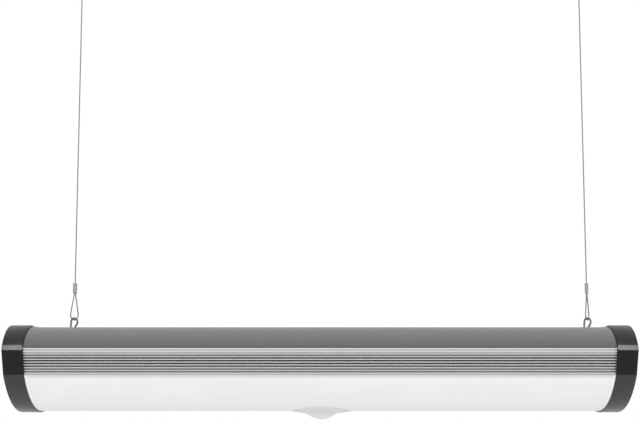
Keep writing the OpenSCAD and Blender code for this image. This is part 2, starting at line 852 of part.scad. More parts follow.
// Pressed aluminium sleeve with two crimp grooves; both strands enter at z = 0
module ferrule() {
    difference() {
        union() {
            sleeve(0, ferrule_l, crimp_r);
            for (k = [0:2]) sleeve(ferrule_l * (3 * k + 0.1) / 8, ferrule_l * (3 * k + 1.9) / 8, sleeve_r);
        }
        for (s = [-1, 1]) bar_z(-1, loop_tail, s * strand_gap, 0, cable_d / 2);
    }
}

module lower_ferrule(x) {
    color(silver) hung() translate([x, 0, lower_ferrule_z]) rotate(loop_turn) ferrule();
}

module upper_ferrule(x) {
    color(silver) hung() translate([x, 0, upper_ferrule_z]) rotate(loop_turn) mirror([0, 0, 1]) ferrule();
}

module lower_ferrule_left() {
    lower_ferrule(left_x);
}

module lower_ferrule_right() {
    lower_ferrule(right_x);
}

module upper_ferrule_left() {
    upper_ferrule(left_x);
}

module upper_ferrule_right() {
    upper_ferrule(right_x);
}

// Straight steel cable from ferrule to ferrule
module cable(x) {
    heights = concat([lower_mouth + mouth_gap], run_heights, [upper_mouth - mouth_gap]);
    color(steel) hung() tube([for (h = heights) [x, 0, h]], cable_d / 2, 8, [1, 0, 0]);
}

module cable_left() {
    cable(left_x);
}

module cable_right() {
    cable(right_x);
}

// Bent spring-wire clip, its two feet turned out under the lips of the hanging rail
module hook_clip(x) {
    color(steel) hung() translate([x, 0, top_z])
        tube([for (p = clip_points) [p[0], p[1], p[2] * clip_rise / 10.5]], clip_d / 2, 12, [1, 0, 0]);
}

module hook_clip_left() {
    hook_clip(left_x);
}

module hook_clip_right() {
    hook_clip(right_x);
}

// Screw hook: thread in the ceiling, collar against it, shank, and a round bend open at one side
module ceiling_hook(x) {
    mid = hook_bottom_z + hook_r;
    color(zinc) hung() translate([x, 0, 0]) union() {
        translate([0, 0, drop]) rotate_extrude() polygon([
            [0, -collar_t], [collar_r, -collar_t], [collar_r, 0], [screw_shank_r, 0],
            [screw_shank_r, screw_l - screw_tip], [0.3, screw_l], [0, screw_l]]);
        bar_z(mid + hook_r - hook_d * 0.55, drop - collar_t / 2, 0, 0, hook_shank_r);
        translate([0, 0, mid]) rotate([90, 0, 0]) rotate([0, 0, hook_start])
            rotate_extrude(angle = hook_end - hook_start) translate([hook_r, 0]) circle(d = hook_d, $fn = 32);
    }
}

module ceiling_hook_left() {
    ceiling_hook(left_x);
}

module ceiling_hook_right() {
    ceiling_hook(right_x);
}

ceiling_hook_left();
ceiling_hook_right();
upper_loop_left();
upper_loop_right();
upper_ferrule_left();
upper_ferrule_right();
cable_left();
cable_right();
lower_ferrule_left();
lower_ferrule_right();
lower_loop_left();
lower_loop_right();
hook_clip_left();
hook_clip_right();
top_cover();
hanging_rail();
side_rail_front();
side_rail_rear();
gear_tray();
lens();
end_cap_left();
end_cap_right();
end_gasket_left();
end_gasket_right();
cap_screws_left();
cap_screws_right();
inlet_gland();
gland_nut();
driver_case();
driver_lid();
driver_board();
driver_screws();
terminal_block();
earth_screw();
mains_leads();
led_leads();
sensor_lead();
led_board_front();
led_board_rear();
leds_front();
leds_rear();
board_screws();
sensor_housing();
sensor_dome();
sensor_nut();
sensor_board();
pyro_detector();
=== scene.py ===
import math

import bmesh
import bpy
import numpy as np
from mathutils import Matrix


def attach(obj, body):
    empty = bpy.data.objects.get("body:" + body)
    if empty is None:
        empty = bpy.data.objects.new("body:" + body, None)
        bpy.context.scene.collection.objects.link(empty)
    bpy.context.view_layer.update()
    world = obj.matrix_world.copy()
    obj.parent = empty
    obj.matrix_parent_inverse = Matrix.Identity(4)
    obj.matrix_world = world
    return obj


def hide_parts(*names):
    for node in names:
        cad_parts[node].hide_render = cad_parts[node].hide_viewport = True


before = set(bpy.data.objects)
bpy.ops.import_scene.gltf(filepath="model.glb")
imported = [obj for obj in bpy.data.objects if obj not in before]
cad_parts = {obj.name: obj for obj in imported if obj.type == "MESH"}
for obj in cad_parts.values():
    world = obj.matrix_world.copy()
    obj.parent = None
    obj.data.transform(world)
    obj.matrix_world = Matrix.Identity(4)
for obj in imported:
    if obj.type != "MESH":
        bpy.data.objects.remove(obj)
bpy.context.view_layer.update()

# ---- Camera
# It stands just under the height of the body and looks slightly up, so that the top of the light
# is seen edge on and the two cables rise out of the picture. Heights in this file are millimetres
# above the lowest line of the end caps, which hangs 497 mm under the ceiling.
drop = 497
eye_height = 61.9
eye_away = 1050
tip_up = 5.72
camera_data = bpy.data.cameras.new("camera")
camera_data.lens = 56.8
camera_data.sensor_width = 36
camera_data.shift_y = 0.0625
camera_data.clip_end = 200
camera = bpy.data.objects.new("camera", camera_data)
camera.location = (0, -eye_away / 1000, (eye_height - drop) / 1000)
camera.rotation_euler = (math.radians(90 + tip_up), 0, 0)
bpy.context.scene.collection.objects.link(camera)
bpy.context.scene.camera = camera


def metres(point):
    """A point along, across and above the lowest line, in the frame's metres."""
    return (point[0] / 1000, point[1] / 1000, (point[2] - drop) / 1000)


# ---- Steel cables
# Two galvanised wire ropes of 1.2 mm, six wires laid round a core. Each is cut to the hanging
# height and hangs straight between two pressed ferrules.
rope_thick = 1.2
rope_lay = 9
cable_x = {"left": -255, "right": 277.5}
cable_ends = (133.3, 439.7)


def circle(reach, sides):
    """Points round a circle, as pairs."""
    turns = [math.tau * k / sides for k in range(sides)]
    return [(reach * math.cos(a), reach * math.sin(a)) for a in turns]


def skin(name, rings, endless=False):
    """A closed mesh through rings of points; its end rings are filled, or joined to each other."""
    count, last = len(rings[0]), len(rings)
    faces = []
    for i in range(last if endless else last - 1):
        this, other = i * count, (i + 1) % last * count
        for k in range(count):
            after = (k + 1) % count
            faces.append((this + k, this + after, other + after, other + k))
    if not endless:
        faces += [tuple(range(count))[::-1], tuple((last - 1) * count + k for k in range(count))]
    return solid(name, [p for ring in rings for p in ring], faces)


def solid(name, points, faces):
    """A mesh object with its faces turned outwards."""
    mesh = bpy.data.meshes.new(name)
    mesh.from_pydata([metres(p) for p in points], [], faces)
    form = bmesh.new()
    form.from_mesh(mesh)
    bmesh.ops.recalc_face_normals(form, faces=form.faces)
    form.to_mesh(mesh)
    form.free()
    thing = bpy.data.objects.new(name, mesh)
    bpy.context.scene.collection.objects.link(thing)
    return thing


def round_off(thing, angle=35):
    """Smooth shading, with creases where faces meet at more than that angle."""
    thing.data.shade_smooth()
    thing.data.set_sharp_from_angle(angle=math.radians(angle))
    return thing


def run_lengths(path):
    """How far along a path each of its points lies."""
    return np.concatenate([[0], np.cumsum(np.linalg.norm(np.diff(path, axis=0), axis=1))])


def spaced(points, step):
    """Points at even steps along straight runs between the given points."""
    points = np.array(points, float)
    lengths = run_lengths(points)
    at = np.linspace(0, lengths[-1], max(2, round(lengths[-1] / step) + 1))
    return np.stack([np.interp(at, lengths, points[:, k]) for k in range(3)], axis=1)


def cross_frames(path, start):
    """Two directions across a path at each of its points, carried along without twist."""
    ahead = np.gradient(path, axis=0)
    ahead /= np.linalg.norm(ahead, axis=1)[:, None]
    side, frames = np.array(start, float), []
    for t in ahead:
        side = side - t * (side @ t)
        side /= np.linalg.norm(side)
        frames.append((side.copy(), np.cross(t, side)))
    return frames


def lay_rope(name, path, start):
    """Six wires twisted round a core along a path."""
    rings = []
    for point, (u, v), s in zip(path, cross_frames(path, start), run_lengths(path)):
        turn = math.tau * s / rope_lay
        ring = []
        for k in range(24):
            a = math.tau * k / 24
            reach = rope_thick / 2 * (0.86 + 0.14 * abs(math.cos(3 * a)))
            ring.append(point + reach * (math.cos(a + turn) * u + math.sin(a + turn) * v))
        rings.append(ring)
    return round_off(skin(name, rings), 60)


def metal(name, dark, light, rough, grain, along=(1, 1, 1), bump=0.1):
    """Bare metal: its tone and gloss drift with a noise, which may be drawn out one way."""
    return finish(name, dark, light, grain, rough, 0.07, bump, along, {"Metallic": 1.0})


def finish(name, dark, light, grain, rough, rough_drift, bump, along, sockets):
    """A shader whose colour, gloss and fine relief follow noise on Object coordinates."""
    material = bpy.data.materials.new(name)
    material.use_nodes = True
    nodes, links = material.node_tree.nodes, material.node_tree.links
    shader = nodes["Principled BSDF"]
    for socket, value in sockets.items():
        shader.inputs[socket].default_value = value
    place = nodes.new("ShaderNodeTexCoord")
    place.name = "place"
    turn = nodes.new("ShaderNodeMapping")
    turn.inputs["Scale"].default_value = along
    links.new(place.outputs["Object"], turn.inputs["Vector"])
    drift = nodes.new("ShaderNodeTexNoise")
    drift.inputs["Scale"].default_value = 1 / grain
    drift.inputs["Detail"].default_value = 4
    links.new(turn.outputs["Vector"], drift.inputs["Vector"])
    tone = nodes.new("ShaderNodeValToRGB")
    tone.color_ramp.elements[0].position = 0.3
    tone.color_ramp.elements[1].position = 0.7
    tone.color_ramp.elements[0].color = (*dark, 1)
    tone.color_ramp.elements[1].color = (*light, 1)
    links.new(drift.outputs["Fac"], tone.inputs["Fac"])
    links.new(tone.outputs["Color"], shader.inputs["Base Color"])
    gloss = nodes.new("ShaderNodeMapRange")
    gloss.inputs["To Min"].default_value = rough - rough_drift
    gloss.inputs["To Max"].default_value = rough + rough_drift
    links.new(drift.outputs["Fac"], gloss.inputs["Value"])
    links.new(gloss.outputs["Result"], shader.inputs["Roughness"])
    fine = nodes.new("ShaderNodeTexNoise")
    fine.inputs["Scale"].default_value = 3 / grain
    fine.inputs["Detail"].default_value = 3
    links.new(turn.outputs["Vector"], fine.inputs["Vector"])
    relief = nodes.new("ShaderNodeBump")
    relief.inputs["Strength"].default_value = bump
    relief.inputs["Distance"].default_value = 0.0002
    links.new(fine.outputs["Fac"], relief.inputs["Height"])
    links.new(relief.outputs["Normal"], shader.inputs["Normal"])
    return material


def patch(material, axis, start, full, colour):
    """Blends in a colour where the height, the distance from the middle or an attribute rises."""
    nodes, links = material.node_tree.nodes, material.node_tree.links
    base = nodes["Principled BSDF"].inputs["Base Color"]
    before = base.links[0].from_socket
    if axis == "Z":
        start, full = (metres((0, 0, height))[2] for height in (start, full))
    elif axis == "X":
        start, full = start / 1000, full / 1000
    if axis in ("X", "Z"):
        parts = nodes.new("ShaderNodeSeparateXYZ")
        links.new(nodes["place"].outputs["Object"], parts.inputs["Vector"])
        value = parts.outputs[axis]
    else:
        mark = nodes.new("ShaderNodeAttribute")
        mark.attribute_name = axis
        value = mark.outputs["Fac"]
    if axis == "X":
        size = nodes.new("ShaderNodeMath")
        size.operation = "ABSOLUTE"
        links.new(value, size.inputs[0])
        value = size.outputs[0]
    mask = nodes.new("ShaderNodeMapRange")
    mask.inputs["From Min"].default_value = start
    mask.inputs["From Max"].default_value = full
    links.new(value, mask.inputs["Value"])
    blend = nodes.new("ShaderNodeMixRGB")
    blend.inputs["Color2"].default_value = (*colour, 1)
    links.new(mask.outputs["Result"], blend.inputs["Fac"])
    links.new(before, blend.inputs["Color1"])
    links.new(blend.outputs["Color"], base)


def dress(thing, material, slot, body, *nodes):
    """Gives a piece its material and the body that it moves with; slot is not used."""
    thing.data.materials.clear()
    thing.data.materials.append(material)
    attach(thing, body)
    if nodes:
        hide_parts(*nodes)
    return thing


rope_steel = metal("galvanised_rope", (0.20, 0.20, 0.205), (0.31, 0.31, 0.315), 0.38, 0.0008)
cables = {}
for side, x in cable_x.items():
    route = spaced([(x, 0, z) for z in cable_ends], 0.5)
    rope = lay_rope(f"steel_cable_{side}", route, (1, 0, 0))
    cables[side] = (dress(rope, rope_steel, "cable_steel", f"cable_{side}", f"cable_{side}"), route)


# ---- Cable loops
# The end of each rope is bent round a hook or a clip and goes back into its ferrule, so a loop is
# the same rope, with two legs that run together.
loop_r = 5.4
loop_l = 22
loop_gap = 0.7
loop_tail = 3
loop_turn = math.radians(58)
loop_middle = {"lower": 100.0, "upper": 473.0}


def loop_route(x, middle, up):
    """The rope's centreline from one tail in the ferrule round the loop to the other."""
    lean = math.atan2(loop_l, loop_gap) - math.acos(loop_r / math.hypot(loop_gap, loop_l))
    bend = [math.pi - lean + (math.pi + 2 * lean) * k / 60 for k in range(61)]
    flat = [(-loop_gap, loop_l + loop_tail), (-loop_gap, loop_l)]
    flat += [(loop_r * math.cos(a), loop_r * math.sin(a)) for a in bend]
    flat += [(loop_gap, loop_l), (loop_gap, loop_l + loop_tail)]
    across, away = math.cos(loop_turn), math.sin(loop_turn)
    return spaced([(x + u * across, u * away, middle + up * v) for u, v in flat], 0.5)


loops = {}
for level, middle in loop_middle.items():
    for side, x in cable_x.items():
        route = loop_route(x, middle, 1 if level == "lower" else -1)
        rope = lay_rope(f"rope_loop_{level}_{side}", route, (0, 1, 0))
        dress(rope, rope_steel, "cable_steel", f"{level}_loops", f"{level}_loop_{side}")
        loops[level, side] = (rope, route)


# ---- Ferrules
# A soft aluminium sleeve is pressed over the rope and the end of its loop, with two crimp grooves
# across it. Its section is a flat oval.
ferrule_l = 11
ferrule_mouth = {"lower": 122.0, "upper": 451.0}
sleeve_r = 1.75
crimp_r = 1.55
crimps_at, crimp_reach = (0.31, 0.69), 0.075
mouth_l, mouth_round = 0.35, 0.3


def oval(reach):
    """An oval round two strands side by side."""
    return [(u + math.copysign(loop_gap, u), v) for u, v in circle(reach, 32)]


ferrule_metal = metal("pressed_aluminium", (0.34, 0.34, 0.345), (0.48, 0.48, 0.485), 0.32, 0.0012)
for level, mouth in ferrule_mouth.items():
    for side, x in cable_x.items():
        rings = []
        for k in range(67):
            s = k / 66
            dent = max(0.0, *(1 - abs(s - at) / crimp_reach for at in crimps_at))
            edge = min(1.0, min(s, 1 - s) * ferrule_l / mouth_l)
            reach = sleeve_r - (sleeve_r - crimp_r) * (dent * dent * (3 - 2 * dent))
            reach -= mouth_round * (1 - math.sqrt(1 - (1 - edge) ** 2))
            height = mouth + s * ferrule_l * (1 if level == "lower" else -1)
            rings.append([
                (x + u * math.cos(loop_turn) - v * math.sin(loop_turn),
                 u * math.sin(loop_turn) + v * math.cos(loop_turn), height)
                for u, v in oval(reach)
            ])
        sleeve = round_off(skin(f"ferrule_{level}_{side}", rings), 50)
        dress(sleeve, ferrule_metal, "ferrule", f"{level}_loops", f"{level}_ferrule_{side}")

for (level, side), (rope, route) in loops.items():
    line = [metres(p) for p in route]
for side, (rope, route) in cables.items():
    line = [metres(p) for p in route]


# ---- Ceiling hooks
# Two screw hooks of 3 mm zinc-plated steel wire, bent round, with a pressed collar against the
# ceiling and a rolled wood-screw thread above it.
hook_r = 6.5
hook_wire_r = 1.5
hook_middle = 482.5
hook_start, hook_sweep = 112, 263
screw_r = 1.7
screw_root = 1.25
screw_pitch = 1.4
screw_l = 16
collar_r = 6


def smooth_route(points, step):
    """A smooth curve through the given points, as points at even steps."""
    p = np.array(points, float)
    p = np.vstack([2 * p[0] - p[1], p, 2 * p[-1] - p[-2]])
    curve = []
    for i in range(1, len(p) - 2):
        for t in np.linspace(0, 1, 16, endpoint=False):
            a, b, c, d = p[i - 1:i + 3]
            curve.append(0.5 * (2 * b + (c - a) * t + (2 * a - 5 * b + 4 * c - d) * t * t
                                + (3 * b - a - 3 * c + d) * t ** 3))
    curve.append(p[-2])
    return spaced(curve, step)


def bend_wire(name, path, reach, start, sides):
    """Round wire along a path, with both its ends rounded."""
    path = np.array(path)
    steps = run_lengths(path)
    near = [reach * f for f in (0.0, 0.04, 0.15, 0.35, 0.65, 1)]
    shaft = [s for s in steps if reach < s < steps[-1] - reach]
    at = np.array(near + shaft + [steps[-1] - s for s in near[::-1]])
    path = np.stack([np.interp(at, steps, path[:, k]) for k in range(3)], axis=1)
    rings = []
    for point, (u, v), s in zip(path, cross_frames(path, start), at):
        inwards = max(0.0, 1 - min(s, steps[-1] - s) / reach)
        r = reach * max(0.05, math.sqrt(max(0.0, 1 - inwards * inwards)))
        rings.append([point + a * u + b * v for a, b in circle(r, sides)])
    return round_off(skin(name, rings), 60)


def turned(name, outline, x, y, sides=48):
    """A piece turned about an upright line: outline is (radius, height) from below to above."""
    return skin(name, [[(x + u, y + v, z) for u, v in circle(r, sides)] for r, z in outline])


def joined(name, *things):
    """One object from several closed shells."""
    form = bmesh.new()
    for thing in things:
        form.from_mesh(thing.data)
        bpy.data.objects.remove(thing)
    mesh = bpy.data.meshes.new(name)
    form.to_mesh(mesh)
    form.free()
    whole = bpy.data.objects.new(name, mesh)
    bpy.context.scene.collection.objects.link(whole)
    return whole


hook_steel = metal("zinc_plated_wire", (0.42, 0.42, 0.41), (0.60, 0.60, 0.58), 0.3, 0.003)
for side, x in cable_x.items():
    bend = [math.radians(hook_start + hook_sweep * k / 40) for k in range(41)]
    route = [(0, 0, 0.5), (0, 0, -1.5), (0, 0, -3.6), (-0.35, 0, -5.9), (-1.1, 0, -7.7)]
    route = [(x + u, v, drop + w) for u, v, w in route]
    route += [(x + hook_r * math.cos(a), 0, hook_middle + hook_r * math.sin(a)) for a in bend]
    wire = bend_wire("hook_wire", smooth_route(route, 0.5), hook_wire_r, (0, 1, 0), 24)
    rings = []
    for i in range(129):
        z = screw_l * i / 128
        taper = min(1.0, (screw_l - z) / 3.2 + 0.06)
        rings.append([])
        for k in range(24):
            phase = (z / screw_pitch - k / 24) % 1
            ridge = max(0.0, 1 - abs(phase - 0.5) * 3.2)
            r = (screw_root + (screw_r - screw_root) * ridge) * taper
            a = math.tau * k / 24
            rings[-1].append((x + r * math.cos(a), r * math.sin(a), drop + z))
    thread = skin("hook_thread", rings)
    rim = [(1.2, 1.2), (4.6, 1.2), (5.4, 1.05), (5.9, 0.6), (collar_r, 0.3), (collar_r, 0.1),
           (5.9, 0), (1.2, 0)]
    collar = turned("hook_collar", [(r, drop - z) for r, z in rim], x, 0)
    hook = round_off(joined(f"screw_hook_{side}", wire, thread, collar), 40)
    dress(hook, hook_steel, "hook_steel", "ceiling", f"ceiling_hook_{side}")


# ---- Hook clips
# Each cable loop hangs on a clip of 2 mm spring wire. Its two feet are turned outwards under the
# lips of the rail on top of the light, and its long leg bulges out and springs it open.
body_top = 86
clip_r = 1.0
clip_bends = [
    (-3.6, -6.2, -2.3), (-3.6, -3.4, -2.3), (-3.6, -2, -2.1), (-3.6, -0.8, -1.5),
    (-3.6, -0.2, -0.6), (-3.6, 0, 0.6), (-3.3, 0, 5), (-3, 0, 7.7), (-2.7, 0, 8.9), (-2, 0, 9.8),
    (-1, 0, 10.4), (0, 0, 10.5), (1, 0, 10.4), (2, 0, 9.8), (2.8, 0, 8.9), (3.3, 0, 7.6),
    (3.4, 0, 6.2), (3, 0, 4.8), (2.1, 0, 3.2), (1.2, 0, 1.8), (0.7, 0, 0.6), (0.5, 0.2, -0.6),
    (0.5, 0.8, -1.5), (0.5, 2, -2.1), (0.5, 3.4, -2.3), (0.5, 6.2, -2.3)]
clip_steel = metal("spring_wire", (0.17, 0.17, 0.17), (0.27, 0.27, 0.265), 0.28, 0.002)
for side, x in cable_x.items():
    route = smooth_route([(x + u, v, body_top + w) for u, v, w in clip_bends], 0.4)
    clip = bend_wire(f"spring_clip_{side}", route, clip_r, (1, 0, 0), 20)
    dress(clip, clip_steel, "clip_steel", "light", f"hook_clip_{side}")


# ---- Top cover
# Folded from 1.4 mm sheet and painted grey: rounded shoulders, a narrow flat under each ridge, an
# edge folded in over each side rail, and a trough along the middle for the hanging rail.
fixture_l, fixture_h, half_w = 610, 88, 80
body_x = 301
shoulder_r, ridge_angle = 34, math.radians(27)
shoulder_y = half_w - 2.2 - shoulder_r * math.cos(ridge_angle)
shoulder_z = fixture_h - shoulder_r
foot_y, foot_z = 72, 39.6
wide_z = shoulder_z + shoulder_r * math.sin(ridge_angle) - 6
side_slope = (half_w - foot_y) / (wide_z - foot_z)
flat_tilt = math.radians(18.4)
lens_middle = (foot_y ** 2 + foot_z ** 2) / (2 * foot_z)
cover_t, cover_inset = 1.4, 2


def side_y(inset, z):
    """Half width of the leaning side at a height."""
    return foot_y + (z - foot_z) * side_slope - inset


def outline(inset, shoulder=22, belly=34):
    """Right half of the light's section, moved inwards, from the top down to the bottom middle."""
    r, big_r = shoulder_r - inset, lens_middle - inset
    n = (math.cos(flat_tilt), math.sin(flat_tilt))
    flat_at = n[0] * half_w + n[1] * wide_z - inset
    ridge = flat_tilt + math.acos((flat_at - n[0] * shoulder_y - n[1] * shoulder_z) / r)
    points = [(0, fixture_h - inset), (shoulder_y / 2, fixture_h - inset)]
    for k in range(shoulder + 1):
        a = math.pi / 2 + (ridge - math.pi / 2) * k / shoulder
        points.append((shoulder_y + r * math.cos(a), shoulder_z + r * math.sin(a)))
    z = (flat_at - n[0] * side_y(inset, 0)) / (n[1] + n[0] * side_slope)
    top = points[-1]
    for t in (0.1, 0.9, 1.0):
        points.append((top[0] + (side_y(inset, z) - top[0]) * t, top[1] + (z - top[1]) * t))
    low = foot_z
    for _ in range(40):
        y = side_y(inset, low)
        low = lens_middle - math.sqrt(max(0.0, big_r ** 2 - y * y))
    points += [(side_y(inset, z + (low - z) * k / 6), z + (low - z) * k / 6) for k in range(1, 7)]
    end = math.asin(side_y(inset, low) / big_r)
    for k in range(1, belly + 1):
        a = end * (1 - k / belly)
        points.append((big_r * math.sin(a), lens_middle - big_r * math.cos(a)))
    return points


def between(points, high, low):
    """The stretch of a line that falls from one height to another."""
    kept = []
    for (y0, z0), (y1, z1) in zip(points, points[1:]):
        for level in (high, low):
            if z0 > level > z1:
                t = (z0 - level) / (z0 - z1)
                kept.append((y0 + (y1 - y0) * t, level))
        if low <= z1 <= high:
            kept.append((y1, z1))
    return kept


def eased(points, reach, steps=4, closed=False):
    """The same line with each corner rounded by about that reach."""
    out, count = [], len(points)
    for i in range(count):
        if not closed and i in (0, count - 1):
            out.append(points[i])
            continue
        a, b, c = (np.array(points[(i + k) % count], float) for k in (-1, 0, 1))
        to_a, to_c = a - b, c - b
        la, lc = np.linalg.norm(to_a), np.linalg.norm(to_c)
        straight = (to_a @ to_c) / (la * lc)
        if straight < -0.97:
            out.append(tuple(b))
            continue
        cut = min(reach, la * 0.45, lc * 0.45)
        p, q = b + to_a / la * cut, b + to_c / lc * cut
        for k in range(steps + 1):
            t = k / steps
            out.append(tuple((1 - t) ** 2 * p + 2 * t * (1 - t) * b + t * t * q))
    return out


def sheet_section(line, thick):
    """A closed section of that thickness about a folded line."""
    line = np.array(line, float)
    ahead = np.gradient(line, axis=0)
    for i in range(1, len(line) - 1):
        a, b = line[i] - line[i - 1], line[i + 1] - line[i]
        ahead[i] = a / np.linalg.norm(a) + b / np.linalg.norm(b)
    ahead /= np.linalg.norm(ahead, axis=1)[:, None]
    across = np.stack([-ahead[:, 1], ahead[:, 0]], axis=1) * thick / 2
    return [tuple(p) for p in np.vstack([line + across, (line - across)[::-1]])]


def drawn(name, section, x0, x1):
    """A section drawn out along the light."""
    return skin(name, [[(x, y, z) for y, z in section] for x in (x0, x1)])


trough_y, trough_floor = 8.1 + cover_t / 2, 79 - cover_t / 2
cover_edge = 66.1
fold_in, fold_low = 7.8, 61.6
middle_line = outline(cover_inset + cover_t / 2, 28)
half = [(trough_y, trough_floor), (trough_y, fixture_h - cover_inset - cover_t / 2)]
half += between(middle_line[2:], fixture_h, cover_edge)
half += [(side_y(fold_in, z), z) for z in (cover_edge, fold_low)]
line = [(-y, z) for y, z in half[::-1]] + half
cover = drawn("top_cover_sheet", sheet_section(eased(line, 0.45, 3), cover_t), -body_x, body_x)
cover_paint = finish("grey_paint", (0.078, 0.079, 0.081), (0.088, 0.089, 0.091), 0.004, 0.34,
                     0.04, 0.05, (0.3, 1, 1), {"Specular IOR Level": 0.5})
dress(round_off(cover, 28), cover_paint, "cover", "light", "top_cover")


# ---- Hanging rail
# A small C channel of extruded aluminium in the trough of the cover. Its lips hold the feet of the
# clips, which slide along it to the place where the light hangs level.
half_rail = [(8, 79), (8, 86), (4, 86), (4, 84.8), (6.8, 84.8), (6.8, 80.2)]
section = half_rail + [(-y, z) for y, z in half_rail][::-1]
hanging_rail = drawn("hanging_rail_channel", eased(section, 0.35, 3, True), -body_x, body_x)
rail_metal = metal("mill_aluminium", (0.50, 0.51, 0.52), (0.66, 0.67, 0.68), 0.36, 0.003,
                   (0.02, 1, 1))
dress(round_off(hanging_rail), rail_metal, "hanging_rail", "light", "hanging_rail")


# ---- Side rails
# Two extruded aluminium rails carry the light. They are ribbed outside, and have inside a slit port
# for the end cap screws, a ledge for the gear tray and a groove that the lens snaps into.
rib_low, rib_high = 42.5, 65.35
rib_pitch = 2.63
groove = (1.8, 1.7, 2.4, 2.7, 2.8, 2.6, 1.6, 1.1, 1.1)
rail_inset, rail_wall = 2, 3.6
lean = math.atan(side_slope)
port = (70.207, 57.5)
port_out, port_in = 3.2, 1.35
tray_low = 52.0
# Painted highlight: above these heights the rail's colour is painted lighter, where its upper ribs
# catch the light.
painted_highlight_above = (60.4, 61.0)


def rail_section():
    """The rail's section on the rear side, up its outer face and down its inner one."""
    def at(z, inwards=0.0):
        return (side_y(rail_inset, z) - inwards * math.cos(lean), z + inwards * math.sin(lean))

    line = [at(foot_z), at(rib_low - 0.6)]
    for i, deep in enumerate(groove):
        low = rib_low + rib_pitch * i
        line += [at(low - rib_pitch * 0.3, deep), at(low + rib_pitch * 0.3, deep)]
    line += [at(rib_high - 0.95), at(rib_high)]
    inner = rail_inset + rail_wall
    line += [(side_y(inner, z), z) for z in (rib_high, 60.2)]
    for reach, angles in ((port_out, range(62, 171, 12)), (port_in, range(150, -151, -20)),
                          (port_out, range(190, 299, 12))):
        for a in map(math.radians, angles):
            line.append((port[0] + reach * math.cos(a), port[1] + reach * math.sin(a)))
    ledge, ledge_low = 9, tray_low - 1.4
    snap, snap_high, snap_low = inner - 1, 43.3, 41.3
    for inwards, z in ((inner, 54.8), (inner, tray_low), (ledge, tray_low), (ledge, ledge_low),
                       (inner, ledge_low), (inner, snap_high), (snap, snap_high), (snap, snap_low),
                       (inner, snap_low), (inner, foot_z)):
        line.append((side_y(inwards, z), z))
    return line


def tree_of_places():
    """Geometry Nodes: the template is set on every point, turned by chance about an axis."""
    tree = bpy.data.node_groups.new("set_on_places", "GeometryNodeTree")
    for label, kind in (("Places", "Geometry"), ("Template", "Object"), ("Finish", "Material"),
                        ("Axis", "Vector"), ("Seed", "Int")):
        tree.interface.new_socket(label, in_out="INPUT", socket_type="NodeSocket" + kind)
    tree.interface.new_socket("Pieces", in_out="OUTPUT", socket_type="NodeSocketGeometry")
    kinds = {"start": "NodeGroupInput", "end": "NodeGroupOutput",
             "template": "GeometryNodeObjectInfo", "chance": "FunctionNodeRandomValue",
             "turn": "ShaderNodeVectorMath", "set": "GeometryNodeInstanceOnPoints",
             "real": "GeometryNodeRealizeInstances", "finish": "GeometryNodeSetMaterial"}
    node = {name: tree.nodes.new(kind) for name, kind in kinds.items()}
    node["turn"].operation = "SCALE"
    node["chance"].inputs[3].default_value = math.tau
    links = [("start", "Template", "template", "Object"), ("start", "Axis", "turn", "Vector"),
             ("start", "Seed", "chance", "Seed"), ("chance", 1, "turn", "Scale"),
             ("start", "Places", "set", "Points"), ("template", "Geometry", "set", "Instance"),
             ("turn", "Vector", "set", "Rotation"), ("set", "Instances", "real", "Geometry"),
             ("real", "Geometry", "finish", "Geometry"), ("start", "Finish", "finish", "Material"),
             ("finish", "Geometry", "end", "Pieces")]
    for a, out, b, into in links:
        tree.links.new(node[a].outputs[out], node[b].inputs[into])
    return tree


def applied(thing):
    """Turns what a piece's modifiers make into its plain mesh."""
    bpy.context.view_layer.update()
    now = thing.evaluated_get(bpy.context.evaluated_depsgraph_get())
    mesh = bpy.data.meshes.new_from_object(now)
    thing.modifiers.clear()
    thing.data = mesh
    return thing


def placed(name, template, places, material, axis=(0, 0, 0), seed=1):
    """One plain mesh of the template set on each place; the template is used up."""
    thing = solid(name, places, [])
    step = thing.modifiers.new("set", "NODES")
    step.node_group = set_on_places
    values = {"Template": template, "Finish": material, "Axis": axis, "Seed": seed}
    for socket in set_on_places.interface.items_tree:
        if socket.name in values:
            step[socket.identifier] = values[socket.name]
    applied(thing)
    bpy.data.objects.remove(template)
    return thing


def rib_bar(mirror):
    """One rib as long as the rail, its crest at the middle; the face of the rail leans inwards."""
    half = ((0, 0.1), (0.35, 0.22), (2.9, 0.5))
    section = []
    for inwards, wide in [(i, -w) for i, w in half[::-1]] + list(half):
        along = wide * rib_pitch
        section.append((mirror * (along * math.sin(lean) - inwards * math.cos(lean)),
                        drop + along * math.cos(lean) + inwards * math.sin(lean)))
    return drawn("rib", section, -body_x, body_x)


set_on_places = tree_of_places()
side_metal = metal("anodised_aluminium", (0.65, 0.655, 0.66), (0.71, 0.715, 0.72), 0.42, 0.003,
                   (0.02, 1, 1), 0.02)
# Painted highlight: the rail's colour turns lighter above this height.
patch(side_metal, "Z", *painted_highlight_above, (0.9, 0.905, 0.91))
